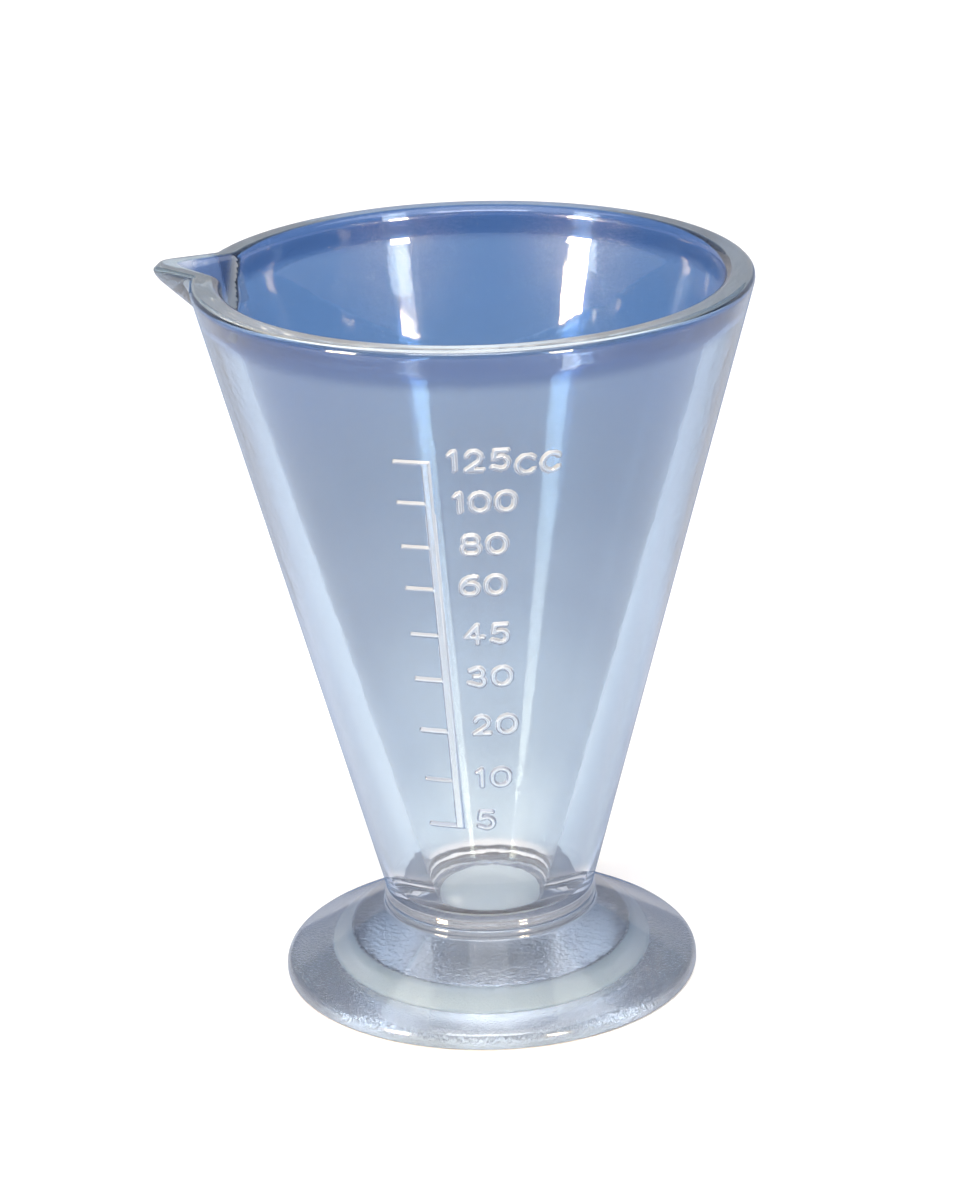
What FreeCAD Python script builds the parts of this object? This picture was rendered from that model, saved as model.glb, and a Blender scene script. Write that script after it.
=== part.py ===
import FreeCAD, Part
import math
import os

import Sketcher

# Footed conical measure, clear glass. Lengths in millimetres.
# Origin at the centre of the foot's resting plane, +Z up, spout towards -X, scale on the -Y side.

V = FreeCAD.Vector
OUT = "parts"

DIMENSIONS = {
    # bowl, outside
    "height": 112.0,
    "rim_radius": 42.08,
    "neck_radius": 16.1,
    "neck_height": 13.7,
    # bowl, inside
    "mouth_radius": 37.1,
    "land_radius": 37.0,
    "land_height": 107.8,
    "floor_radius": 8.56,
    "floor_height": 13.0,
    "floor_round": 3.5,
    "hollow_top": 125.0,
    "lip_round": 1.1,
    # collar around the joint of bowl and foot
    "collar_radius": 16.55,
    "collar_shoulder": 13.2,
    "collar_bottom": 11.4,
    "joint_height": 12.3,
    "joint_radius": 16.25,
    # foot
    "foot_radius": 32.1,
    "foot_edge": 2.15,
    "foot_crown": 10.9,
    "foot_crown_radius": 16.4,
    "foot_edge_round": 0.9,
    "recess_height": 3.9,
    "recess_radius": 21.2,
    "recess_mouth": 22.6,
    "rest_round": 0.5,
    # pouring spout: half widths, and reach from the axis
    "spout_root_half": 7.8,
    "spout_root_reach": 40.2,
    "spout_tip_half": 2.4,
    "spout_tip_reach": 50.0,
    "spout_foot_height": 103.2,
    "spout_foot_half": 2.0,
    "spout_foot_reach": 39.4,
    "spout_foot_root": 36.0,
    "spout_inner_end": 34.0,
    "channel_root_half": 6.4,
    "channel_root_reach": 36.4,
    "channel_tip_half": 0.7,
    "channel_tip_reach": 43.9,
    "channel_foot_height": 103.6,
    "channel_foot_reach": 35.4,
    "channel_foot_root": 33.0,
    "channel_inner_end": 30.0,
    # scale
    "relief": 0.5,
    "mark_root": 1.2,
    "spine_width": 1.33,
    "tick_reach": 4.9,
    "tick_width": 0.8,
    "stroke_width": 0.88,
    "advance_one": 3.0,
    "advance_wide": 3.7,
}

# Graduations: cubic centimetres -> height of the tick, height of the numeral, offset of the first digit.
MARKS = {
    125: (94.4, 94.9, 3.9),
    100: (87.7, 88.1, 4.2),
    80: (80.4, 81.1, 5.4),
    60: (73.4, 74.3, 4.7),
    45: (65.6, 66.0, 4.7),
    30: (57.8, 58.6, 4.5),
    20: (48.8, 50.1, 4.6),
    10: (40.0, 40.7, 3.7),
    5: (31.8, 33.0, 3.9),
}
UNIT_HEIGHT = 93.9
UNIT_OFFSETS = (14.3, 17.95)

# Characters as strokes on a centred grid in millimetres. Each stroke is one of
#   "chain": joined pieces, each a point (x, y) or an arc (x, y, radius, start angle, end angle)
#   "bar": x and y of one end, then of the other
#   "ring": x, y, radius, half the straight part along x, half the straight part along y
TOP = 1.48
GLYPHS = {
    "0": [("ring", (0, 0, 1.3, 0, 0.18))],
    "1": [("chain", [(-0.5, 0.95), (0.2, TOP), (0.2, -TOP)])],
    "2": [("chain", [(0, 0.5, 0.98, 165, -40), (-1.05, -TOP)]), ("bar", (-1.1, -TOP, 1.15, -TOP))],
    "3": [
        ("chain", [(-0.95, 1.05), (0.2, 0.76, 0.72, 110, -90), (-0.3, 0.04)]),
        ("chain", [(0.1, 0.02), (0.32, -0.74, 0.76, 90, -110), (-1.1, -1.05)]),
    ],
    "4": [("chain", [(0.45, TOP), (-1.2, -0.55), (1.25, -0.55)]), ("bar", (0.45, TOP, 0.45, -TOP))],
    "5": [
        ("chain", [(0.95, TOP), (-0.72, TOP), (-0.9, 0.15), (0.12, -0.5, 0.98, 115, -100), (-1.05, -1.1)]),
    ],
    "6": [("ring", (0, -0.56, 0.92, 0.28, 0)), ("chain", [(0.62, -0.4, 1.82, 80, 180)])],
    "8": [("ring", (0, 0.76, 0.72, 0.28, 0)), ("ring", (0, -0.68, 0.8, 0.4, 0))],
    "c": [("chain", [(0, 0, 1.37, 42, 318)])],
}

doc = FreeCAD.newDocument("measure")
nodes = []


def make_sheet():
    sheet = doc.addObject("Spreadsheet::Sheet", "dims")
    for row, (alias, value) in enumerate(DIMENSIONS.items(), start=1):
        sheet.set(f"A{row}", alias)
        sheet.set(f"B{row}", str(value))
        sheet.setAlias(f"B{row}", alias)
    row = len(DIMENSIONS)
    for value, (tick, numeral, offset) in MARKS.items():
        for alias, number in (
            (f"tick_height_{value}", tick),
            (f"numeral_height_{value}", numeral),
            (f"numeral_offset_{value}", offset),
        ):
            row += 1
            sheet.set(f"A{row}", alias)
            sheet.set(f"B{row}", str(number))
            sheet.setAlias(f"B{row}", alias)
    doc.recompute()
    return sheet


SHEET = make_sheet()


def size(alias):
    """The value of a length: a number, or the sheet's cell of that name."""
    return alias if isinstance(alias, (int, float)) else float(SHEET.get(alias))


def plane_of(body, role):
    return next(f for f in body.Origin.OriginFeatures if f.Role == role)


def new_body(label):
    body = doc.addObject("PartDesign::Body", label)
    body.Label = label
    return body


def pin(sketch, kind, geometry, alias, sign=1):
    """Fix one coordinate of a line's start point, tied to the sheet where it has a cell."""
    axis = -2 if kind == "DistanceX" else -1
    if size(alias) == 0:
        sketch.addConstraint(Sketcher.Constraint("PointOnObject", geometry, 1, axis))
        return
    value = sign * size(alias)
    index = sketch.addConstraint(Sketcher.Constraint(kind, -1, 1, geometry, 1, value))
    if isinstance(alias, str):
        sketch.setExpression(f"Constraints[{index}]", f"{'-' if sign < 0 else ''}dims.{alias}")


def outline(body, name, role, points, offset=None):
    """A closed polygon through points of (x, y) lengths. A leading '-' takes the negative of a cell."""
    sketch = body.newObject("Sketcher::SketchObject", name)
    sketch.AttachmentSupport = [(plane_of(body, role), "")]
    sketch.MapMode = "FlatFace"
    if offset is not None:
        sketch.setExpression("AttachmentOffset.Base.z", f"dims.{offset}")

    def split(term):
        if isinstance(term, str) and term.startswith("-"):
            return term[1:], -1
        return term, 1

    signed = [(split(x), split(y)) for x, y in points]
    spots = [V(sx * size(x), sy * size(y), 0) for (x, sx), (y, sy) in signed]
    count = len(spots)
    for i in range(count):
        sketch.addGeometry(Part.LineSegment(spots[i], spots[(i + 1) % count]))
    for i in range(count):
        sketch.addConstraint(Sketcher.Constraint("Coincident", i, 2, (i + 1) % count, 1))
    for i, ((x, sx), (y, sy)) in enumerate(signed):
        pin(sketch, "DistanceX", i, x, sx)
        pin(sketch, "DistanceY", i, y, sy)
    doc.recompute()
    return sketch


def revolve(body, name, sketch, kind="PartDesign::Revolution"):
    feature = body.newObject(kind, name)
    feature.Profile = sketch
    feature.ReferenceAxis = (sketch, ["V_Axis"])
    feature.Angle = 360.0
    doc.recompute()
    return feature


def circle_edges(shape, rings):
    """Names of the full circular edges about the Z axis at the given (radius, height) pairs."""
    found = []
    for number, edge in enumerate(shape.Edges, start=1):
        box = edge.BoundBox
        for radius, height in rings:
            level = abs(box.ZMin - height) < 0.02 and abs(box.ZMax - height) < 0.02
            if level and abs(box.XMax - radius) < 0.02 and abs(box.YMax - radius) < 0.02:
                found.append(f"Edge{number}")
    return found


def fillet(body, name, base, edges, alias):
    feature = body.newObject("PartDesign::Fillet", name)
    feature.Base = (base, edges)
    feature.setExpression("Radius", f"dims.{alias}")
    doc.recompute()
    return feature


def loft(body, name, kind, sections):
    feature = body.newObject(kind, name)
    feature.Profile = sections[0]
    feature.Sections = sections[1:]
    feature.Ruled = True
    doc.recompute()
    return feature


def make_bowl():
    body = new_body("bowl")
    wall = outline(body, "bowl_outside", "XZ_Plane", [
        (0, "joint_height"),
        ("joint_radius", "joint_height"),
        ("collar_radius", "collar_shoulder"),
        ("neck_radius", "neck_height"),
        ("rim_radius", "height"),
        (0, "height"),
    ])
    revolve(body, "bowl_blank", wall)
    spout_top = outline(body, "spout_top", "XY_Plane", [
        ("-spout_inner_end", "spout_root_half"),
        ("-spout_root_reach", "spout_root_half"),
        ("-spout_tip_reach", "spout_tip_half"),
        ("-spout_tip_reach", "-spout_tip_half"),
        ("-spout_root_reach", "-spout_root_half"),
        ("-spout_inner_end", "-spout_root_half"),
    ], "height")
    spout_foot = outline(body, "spout_foot", "XY_Plane", [
        ("-spout_inner_end", "spout_root_half"),
        ("-spout_foot_root", "spout_root_half"),
        ("-spout_foot_reach", "spout_foot_half"),
        ("-spout_foot_reach", "-spout_foot_half"),
        ("-spout_foot_root", "-spout_root_half"),
        ("-spout_inner_end", "-spout_root_half"),
    ], "spout_foot_height")
    spout = loft(body, "spout", "PartDesign::AdditiveLoft", [spout_top, spout_foot])
    hollow = outline(body, "bowl_inside", "XZ_Plane", [
        (0, "floor_height"),
        ("floor_radius", "floor_height"),
        ("land_radius", "land_height"),
        ("mouth_radius", "height"),
        ("mouth_radius", "hollow_top"),
        (0, "hollow_top"),
    ])
    revolve(body, "bowl_hollow", hollow, "PartDesign::Groove")
    channel_top = outline(body, "channel_top", "XY_Plane", [
        ("-channel_inner_end", "channel_root_half"),
        ("-channel_root_reach", "channel_root_half"),
        ("-channel_tip_reach", "channel_tip_half"),
        ("-channel_tip_reach", "-channel_tip_half"),
        ("-channel_root_reach", "-channel_root_half"),
        ("-channel_inner_end", "-channel_root_half"),
    ], "height")
    channel_foot = outline(body, "channel_foot", "XY_Plane", [
        ("-channel_inner_end", "channel_root_half"),
        ("-channel_foot_root", "channel_root_half"),
        ("-channel_foot_reach", "channel_tip_half"),
        ("-channel_foot_reach", "-channel_tip_half"),
        ("-channel_foot_root", "-channel_root_half"),
        ("-channel_inner_end", "-channel_root_half"),
    ], "channel_foot_height")
    channel = loft(body, "channel", "PartDesign::SubtractiveLoft", [channel_top, channel_foot])
    edges = circle_edges(channel.Shape, [(size("floor_radius"), size("floor_height"))])
    rounded = fillet(body, "floor_rounding", channel, edges, "floor_round")
    lip = []
    for number, edge in enumerate(rounded.Shape.Edges, start=1):
        box = edge.BoundBox
        if box.ZMin > size("height") - 0.01:
            lip.append(f"Edge{number}")
    fillet(body, "lip_rounding", rounded, lip, "lip_round")
    nodes.append(body)
    return body


def make_foot():
    body = new_body("foot")
    section = outline(body, "foot_section", "XZ_Plane", [
        (0, "recess_height"),
        ("recess_radius", "recess_height"),
        ("recess_mouth", 0),
        ("foot_radius", 0),
        ("foot_radius", "foot_edge"),
        ("foot_crown_radius", "foot_crown"),
        ("collar_radius", "collar_bottom"),
        ("joint_radius", "joint_height"),
        (0, "joint_height"),
    ])
    blank = revolve(body, "foot_blank", section)
    shoulder = circle_edges(blank.Shape, [(size("foot_radius"), size("foot_edge"))])
    edge = fillet(body, "edge_rounding", blank, shoulder, "foot_edge_round")
    rings = [(size("foot_radius"), 0), (size("recess_mouth"), 0)]
    fillet(body, "rest_rounding", edge, circle_edges(edge.Shape, rings), "rest_round")
    nodes.append(body)
    return body


def cone(name, extra):
    """The bowl's outer cone as a solid, larger by extra on the radius."""
    feature = doc.addObject("Part::Cone", name)
    feature.setExpression("Radius1", f"dims.neck_radius + {extra}")
    feature.setExpression("Radius2", f"dims.rim_radius + {extra}")
    feature.setExpression("Height", "dims.height - dims.neck_height")
    feature.setExpression("Placement.Base.z", "dims.neck_height")
    return feature


def make_relief():
    """The skin that every raised mark is cut from. It lies on the bowl's outer wall."""
    skin = doc.addObject("Part::Cut", "relief_skin")
    skin.Base = cone("relief_outside", "dims.relief")
    skin.Tool = cone("relief_inside", "0")
    doc.recompute()
    return skin


def wall_radius(height):
    """Expression for the radius of the bowl's outer wall at a height."""
    return (
        f"(dims.neck_radius + (dims.rim_radius - dims.neck_radius)"
        f" * ({height} - dims.neck_height) / (dims.height - dims.neck_height))"
    )


def wall_turn(offset, height):
    """Expression for the angle about Z that moves a mark sideways along the wall by offset."""
    return f"({offset}) / {wall_radius(height)} * 180 / pi"


def upright_sketch(name, height):
    """A sketch facing -Y, just under the front of the wall, its origin at the height of the mark."""
    sketch = doc.addObject("Sketcher::SketchObject", name)
    sketch.Placement = FreeCAD.Placement(V(0, 0, 0), FreeCAD.Rotation(V(1, 0, 0), 90))
    sketch.setExpression("Placement.Base.y", f"dims.mark_root - {wall_radius(height)}")
    sketch.setExpression("Placement.Base.z", height)
    return sketch


def arc_of(x, y, radius, start, end):
    """An arc about (x, y) from one angle to the other, in degrees."""
    low, high = sorted((math.radians(start), math.radians(end)))
    return Part.ArcOfCircle(Part.Circle(V(x, y, 0), V(0, 0, 1), radius), low, high)


def point_of(x, y, radius, angle):
    turn = math.radians(angle)
    return V(x + radius * math.cos(turn), y + radius * math.sin(turn), 0)


def chain_geometry(pieces):
    """Lines and arcs that run from piece to piece."""
    geometry = []
    last = None
    for piece in pieces:
        if len(piece) == 2:
            start = end = V(piece[0], piece[1], 0)
        else:
            start = point_of(*piece[:3], piece[3])
            end = point_of(*piece[:3], piece[4])
        if last is not None:
            geometry.append(Part.LineSegment(last, start))
        if len(piece) == 5:
            geometry.append(arc_of(*piece))
        last = end
    return geometry


def chain_face(name, pieces, height):
    """A round-ended stroke of the scale's stroke width along a chain."""
    sketch = upright_sketch(name + "_line", height)
    for geometry in chain_geometry(pieces):
        sketch.addGeometry(geometry)
    doc.recompute()
    stroke = doc.addObject("Part::Offset2D", name + "_stroke")
    stroke.Source = sketch
    stroke.Mode = "Pipe"
    stroke.Fill = False
    stroke.setExpression("Value", "dims.stroke_width / 2")
    return stroke


def bar_face(name, x1, y1, x2, y2, height, width):
    """A straight round-ended stroke of the given width."""
    sketch = upright_sketch(name + "_outline", height)
    along = V(x2 - x1, y2 - y1, 0).normalize()
    side = V(-along.y, along.x, 0) * (width / 2)
    a, b = V(x1, y1, 0), V(x2, y2, 0)
    sketch.addGeometry(Part.LineSegment(a - side, b - side))
    sketch.addGeometry(Part.Arc(b - side, b + along * (width / 2), b + side))
    sketch.addGeometry(Part.LineSegment(b + side, a + side))
    sketch.addGeometry(Part.Arc(a + side, a - along * (width / 2), a - side))
    return sketch


def ring_face(name, x, y, radius, half_x, half_y, height):
    """A closed stroke around a slot, straight along x or along y."""
    sketch = upright_sketch(name + "_outline", height)
    turn = 90 if half_y else 0
    shift = V(half_x, half_y, 0)
    centre = V(x, y, 0)
    for grow in (size("stroke_width") / 2, -size("stroke_width") / 2):
        reach = radius + grow
        side = V(-shift.y, shift.x, 0).normalize() * reach
        near, far = centre + shift, centre - shift
        sketch.addGeometry(arc_of(near.x, near.y, reach, turn - 90, turn + 90))
        sketch.addGeometry(Part.LineSegment(near + side, far + side))
        sketch.addGeometry(arc_of(far.x, far.y, reach, turn + 90, turn + 270))
        sketch.addGeometry(Part.LineSegment(far - side, near - side))
    return sketch


def raise_stroke(name, face, turn):
    """Carry a flat stroke outwards through the wall, turned about the axis."""
    solid = doc.addObject("Part::Extrusion", name)
    solid.Base = face
    solid.DirMode = "Custom"
    solid.Dir = V(0, -1, 0)
    solid.Solid = True
    solid.FaceMakerClass = "Part::FaceMakerBullseye"
    solid.setExpression("LengthFwd", "2 * dims.mark_root + dims.relief")
    solid.setExpression("Placement.Rotation.Angle", turn)
    return solid


def glyph_solids(name, character, height, turn):
    solids = []
    for number, (kind, data) in enumerate(GLYPHS[character]):
        part = f"{name}_{number}"
        if kind == "chain":
            face = chain_face(part, data, height)
        elif kind == "bar":
            face = bar_face(part, *data, height, size("stroke_width"))
        else:
            face = ring_face(part, *data, height)
        solids.append(raise_stroke(part, face, turn))
    return solids


def raised(label, solids, skin):
    """Keep of the solids what lies in the skin."""
    if len(solids) > 1:
        union = doc.addObject("Part::MultiFuse", label + "_strokes")
        union.Shapes = solids
    else:
        union = solids[0]
    node = doc.addObject("Part::MultiCommon", label)
    node.Shapes = [union, skin]
    node.Label = label
    doc.recompute()
    return node


def make_spine(skin):
    bar = doc.addObject("Part::Box", "spine_bar")
    low, high = "dims.tick_height_5", "dims.tick_height_125"
    bar.setExpression("Length", "dims.spine_width")
    bar.setExpression("Width", "dims.rim_radius + 10")
    bar.setExpression("Height", f"{high} - {low} + dims.tick_width")
    bar.setExpression("Placement.Base.x", "-dims.spine_width / 2")
    bar.setExpression("Placement.Base.y", "-dims.rim_radius - 10")
    bar.setExpression("Placement.Base.z", f"{low} - dims.tick_width / 2")
    node = raised("scale_spine", [bar], skin)
    nodes.append(node)
    return node, bar


def make_ticks(skin, bar):
    """One tick for each graduation, from its free end to the side of the spine."""
    solids = []
    half = size("tick_width") / 2
    length = size("tick_reach") - half
    for value in MARKS:
        height = f"dims.tick_height_{value}"
        face = bar_face(f"tick_{value}", -length / 2, 0, length / 2, 0, height, 2 * half)
        solids.append(raise_stroke(f"tick_{value}", face, wall_turn(f"-{length / 2}", height)))
    blank = raised("tick_blanks", solids, skin)
    node = doc.addObject("Part::Cut", "scale_ticks")
    node.Base = blank
    node.Tool = bar
    node.Label = "scale_ticks"
    doc.recompute()
    nodes.append(node)
    return node


def make_numeral(value, skin):
    height = f"dims.numeral_height_{value}"
    offset = f"dims.numeral_offset_{value}"
    solids = []
    for place, digit in enumerate(str(value)):
        turn = wall_turn(offset, height)
        solids += glyph_solids(f"n{value}_{place}", digit, height, turn)
        offset += " + dims.advance_one" if digit == "1" else " + dims.advance_wide"
    nodes.append(raised(f"numeral_{value}", solids, skin))


def make_unit(skin):
    solids = []
    for place, offset in enumerate(UNIT_OFFSETS):
        turn = wall_turn(offset, str(UNIT_HEIGHT))
        solids += glyph_solids(f"unit_{place}", "c", str(UNIT_HEIGHT), turn)
    nodes.append(raised("unit_cc", solids, skin))


def check_and_export():
    doc.recompute()
    for feature in doc.Objects:
        if "Invalid" in feature.State or "Error" in feature.State:
            raise RuntimeError(f"{feature.Name} failed: {feature.State}")
    os.makedirs("parts", exist_ok=True)
    for node in nodes:
        shape = node.Shape
        if shape.isNull() or not shape.isValid():
            raise RuntimeError(f"{node.Label} has no valid shape")
        shape.exportStep(f"{OUT}/{node.Label}.step")


make_bowl()
make_foot()
relief = make_relief()
spine, spine_bar = make_spine(relief)
make_ticks(relief, spine_bar)
for mark in MARKS:
    make_numeral(mark, relief)
make_unit(relief)
check_and_export()
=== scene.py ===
import math
from collections import namedtuple

import bpy
import numpy as np
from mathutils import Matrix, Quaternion, Vector
from mathutils.bvhtree import BVHTree


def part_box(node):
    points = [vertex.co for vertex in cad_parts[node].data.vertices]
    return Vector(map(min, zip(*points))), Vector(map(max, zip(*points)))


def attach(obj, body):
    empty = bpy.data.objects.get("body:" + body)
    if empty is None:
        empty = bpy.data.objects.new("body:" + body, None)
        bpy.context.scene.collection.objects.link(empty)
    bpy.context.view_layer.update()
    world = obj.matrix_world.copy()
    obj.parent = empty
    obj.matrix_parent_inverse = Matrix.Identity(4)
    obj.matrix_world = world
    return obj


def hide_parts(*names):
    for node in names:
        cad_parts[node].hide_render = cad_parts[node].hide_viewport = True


# Clear pressed-glass measure: conical bowl with spout and raised scale, on a flared hollow foot.
# Angles are azimuths about the axis in degrees: 0 faces -Y, where the scale is, and +90 faces +X.

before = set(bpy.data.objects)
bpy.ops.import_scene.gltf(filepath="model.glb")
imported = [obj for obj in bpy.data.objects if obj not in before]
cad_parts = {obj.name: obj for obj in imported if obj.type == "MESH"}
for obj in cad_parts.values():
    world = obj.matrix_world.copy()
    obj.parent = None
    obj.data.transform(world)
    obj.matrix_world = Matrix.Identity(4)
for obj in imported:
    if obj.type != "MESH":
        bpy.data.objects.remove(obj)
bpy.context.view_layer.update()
MM = 0.001

# ---- sizes, in metres, from the frame where it gives them
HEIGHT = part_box("bowl")[1].z
JOINT_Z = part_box("bowl")[0].z
FOOT_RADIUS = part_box("foot")[1].x
CENTRE = Vector((0, 0, HEIGHT / 2))

RIM_RADIUS = 42.08 * MM        # of the outer cone's line at the very top
NECK_RADIUS = 16.1 * MM
NECK_Z = 13.7 * MM
WALL_START = 0.4 * MM          # how far above the neck the plain cone begins
COLLAR_RADIUS = 16.55 * MM
COLLAR_HALF = 0.6 * MM         # from the joint up or down to the collar's widest ring
COLLAR_ROUND = 0.5 * MM
JOINT_RADIUS = 16.25 * MM
MOUTH_RADIUS = 37.1 * MM
LAND_RADIUS = 37.0 * MM
LAND_Z = 107.8 * MM
LAND_BLEND = 0.25 * MM
FLOOR_RADIUS = 8.56 * MM
FLOOR_Z = 13.0 * MM
FLOOR_BEND = 2.625 * MM        # how far from its corner the floor's rounding reaches
FLOOR_RISE = 1.0 * MM          # how far up that rounding the floor's painted pale light reaches
LIP_ROUND = 1.5 * MM
TIP_ROUND = 1.2 * MM           # what the spout's tip adds to the lip's outer rounding
RELIEF = 0.5 * MM
RELIEF_RAMP = 0.28 * MM        # how far inside its outline a mark reaches its full height
RELIEF_START = 0.006 * MM      # nearer to its outline than this, a mark isn't raised
RELIEF_LEAST = 0.02 * MM       # the relief left in a valley between two strokes of one mark
FLAT_TOP = 0.95                # share of the full relief above which a face is the mark's top

SPOUT_AZIMUTH = -90.0
SPOUT_REACH_ANGLE = 28.0       # beyond this the rim is plain
SPOUT_STEP = 0.3 * MM          # how far past the plain wall the channel counts as begun
SPOUT_SIDE_ANGLE = 14.0        # the wall beside the spout, where its own glass is seen edge on
SPOUT_BLEND = 0.9 * MM
SPOUT_TIP_BLEND = 1.8 * MM
# plan of the spout and of its channel at the top and at its foot: reach and half width at root
# and tip
SPOUT_TOP = np.array([40.2, 7.8, 50.0, 2.4]) * MM
SPOUT_FOOT = np.array([36.0, 7.8, 39.4, 2.0]) * MM
SPOUT_FOOT_Z = 103.2 * MM
CHANNEL_TOP = np.array([36.4, 6.4, 43.9, 0.7]) * MM
CHANNEL_FOOT = np.array([33.0, 6.4, 35.4, 0.7]) * MM
CHANNEL_FOOT_Z = 103.6 * MM


# ---- profiles

def cone_radius(z):
    return NECK_RADIUS + (RIM_RADIUS - NECK_RADIUS) * (z - NECK_Z) / (HEIGHT - NECK_Z)


INNER_SLOPE = (LAND_RADIUS - FLOOR_RADIUS) / (LAND_Z - FLOOR_Z)


def inner_radius(z):
    cone = FLOOR_RADIUS + INNER_SLOPE * (z - FLOOR_Z)
    land = LAND_RADIUS + (MOUTH_RADIUS - LAND_RADIUS) * (z - LAND_Z) / (HEIGHT - LAND_Z)
    return smooth_min(cone, land, LAND_BLEND)


def smooth_min(a, b, width):
    mix = np.clip(0.5 + 0.5 * (b - a) / width, 0, 1)
    return b + (a - b) * mix - width * mix * (1 - mix)


def smooth_max(a, b, width):
    return -smooth_min(-a, -b, width)


def wedge_radius(azimuth, plan):
    """Radius of a wedge-shaped plan that points along the spout, zero away from it."""
    turn = np.radians((azimuth - SPOUT_AZIMUTH + 180) % 360 - 180)
    along, side = np.cos(turn), np.abs(np.sin(turn))
    root, root_half, tip, tip_half = plan
    narrowing, length = tip_half - root_half, tip - root
    flank = (root * narrowing - root_half * length) / (along * narrowing - side * length)
    never_zero = np.maximum(along, 0.1)
    radius = smooth_min(flank, tip / never_zero, SPOUT_TIP_BLEND)
    return np.where(np.abs(turn) < math.radians(SPOUT_REACH_ANGLE), radius, 0)


def with_spout(azimuth, z, radius, top, foot, foot_z):
    """The radius of a wall, carried out where the spout's own plan passes it."""
    share = np.maximum((z - foot_z) / (HEIGHT - foot_z), 0)
    plan = [f + (t - f) * share for t, f in zip(top, foot)]
    wedge = wedge_radius(azimuth, plan)
    carried = smooth_max(radius, wedge, SPOUT_BLEND)
    return np.where((z > foot_z) & (wedge > 0), carried, radius)


def outside(azimuth, z):
    return with_spout(azimuth, z, cone_radius(z), SPOUT_TOP, SPOUT_FOOT, SPOUT_FOOT_Z)


def inside(azimuth, z):
    return with_spout(azimuth, z, inner_radius(z), CHANNEL_TOP, CHANNEL_FOOT, CHANNEL_FOOT_Z)


def place(azimuth, radius, z):
    """Points in the frame from azimuth, radius and height."""
    turn = np.radians(azimuth)
    azimuth, radius, z = np.broadcast_arrays(azimuth, radius, z)
    return np.stack([radius * np.sin(turn), -radius * np.cos(turn), z], axis=-1)


def steps(start, end, count):
    """Even steps from start to end, without the start itself."""
    return np.linspace(start, end, count + 1)[1:]


def rounded(corners, points=6):
    """A line of (radius, height) through corners of (radius, height, rounding)."""
    line = []
    for i, (r, z, bend) in enumerate(corners):
        here = np.array([r, z])
        if i in (0, len(corners) - 1) or bend == 0:
            line.append(here)
            continue
        before = np.array(corners[i - 1][:2]) - here
        after = np.array(corners[i + 1][:2]) - here
        reach_in, reach_out = np.linalg.norm(before), np.linalg.norm(after)
        start = here + before / reach_in * min(bend, reach_in / 2)
        end = here + after / reach_out * min(bend, reach_out / 2)
        for t in np.linspace(0, 1, points):
            line.append((1 - t) ** 2 * start + 2 * t * (1 - t) * here + t * t * end)
    return np.array(line)


# ---- meshes

def make_piece(name, vertices, faces, kinds, materials, normals=None):
    """A mesh object whose faces each name their kind, which is a key of materials."""
    mesh = bpy.data.meshes.new(name)
    mesh.from_pydata(np.asarray(vertices).tolist(), [], faces)
    for material in materials.values():
        mesh.materials.append(material)
    number = {kind: i for i, kind in enumerate(materials)}
    mesh.polygons.foreach_set("material_index", [number[kind] for kind in kinds])
    mesh.polygons.foreach_set("use_smooth", [True] * len(faces))
    mesh.validate()
    if normals is not None:
        mesh.normals_split_custom_set_from_vertices(np.asarray(normals).tolist())
    mesh.update()
    piece = bpy.data.objects.new(name, mesh)
    bpy.context.scene.collection.objects.link(piece)
    return piece


def chosen(materials, *kinds):
    return {kind: materials[kind] for kind in kinds}


def ring_faces(columns, start, end, index_of):
    """Quads between neighbouring rings, as (column, row, corners)."""
    for j in range(columns):
        after = (j + 1) % columns
        for k in range(start, end):
            yield j, k, (index_of(j, k), index_of(after, k),
                         index_of(after, k + 1), index_of(j, k + 1))


# ---- the bowl's rings

# the patch of wall that carries the scale, in cells divided finely where a mark stands
PATCH_AZIMUTHS = (-16.5, 33.0)
PATCH_HEIGHTS = (30.0 * MM, 99.0 * MM)
CELL_ANGLE = 1.5
CELL_HEIGHT = 1.0 * MM
DIVISIONS = 7

SPOUT_SPAN = (246, 294)        # azimuths with close columns around the spout
RIGHT_COLUMNS, SPOUT_COLUMNS, LEFT_COLUMNS = 71, 80, 24
RINGS_BELOW, RINGS_ABOVE = 8, 21       # of the outer wall, below and above the patch
RINGS_MOUTH, RINGS_CONE = 21, 29       # of the inner wall, in its upper and its lower part
MOUTH_DEPTH = 5 * MM           # below the land, where the inner wall's upper part ends
FLOOR_START = 6 * MM           # above the floor, where the inner wall's lower part ends
FLOOR_HOLE = 0.5 * MM          # radius of the innermost ring, which a fan closes
LIP_STEPS = 8
LIP_OUTSIDE = 4                # rings of the lip that look like the outer wall
LIP_INSIDE = 7                 # rings of the lip that look like the inner wall
NO_NORMAL = (0.0, 0.0, 0.0)    # leaves a vertex its own smooth normal


def column_azimuths():
    """Azimuths of the bowl's columns: close at the spout and on the scale, wider elsewhere."""
    low, high = PATCH_AZIMUTHS
    patch = np.append(np.arange(low, high, CELL_ANGLE), high)
    right = steps(high, SPOUT_SPAN[0], RIGHT_COLUMNS)
    spout = steps(*SPOUT_SPAN, SPOUT_COLUMNS)
    left = steps(SPOUT_SPAN[1], 360 + low, LEFT_COLUMNS)[:-1]
    return np.concatenate([patch, right, spout, left]), len(patch)


def lip_rounding(azimuths):
    """The lip's outer rounding, larger towards the spout's tip."""
    wall = cone_radius(HEIGHT)
    reach = (outside(azimuths, HEIGHT) - wall) / (SPOUT_TOP[2] - wall)
    return LIP_ROUND + TIP_ROUND * np.clip(reach, 0, 1)


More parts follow.
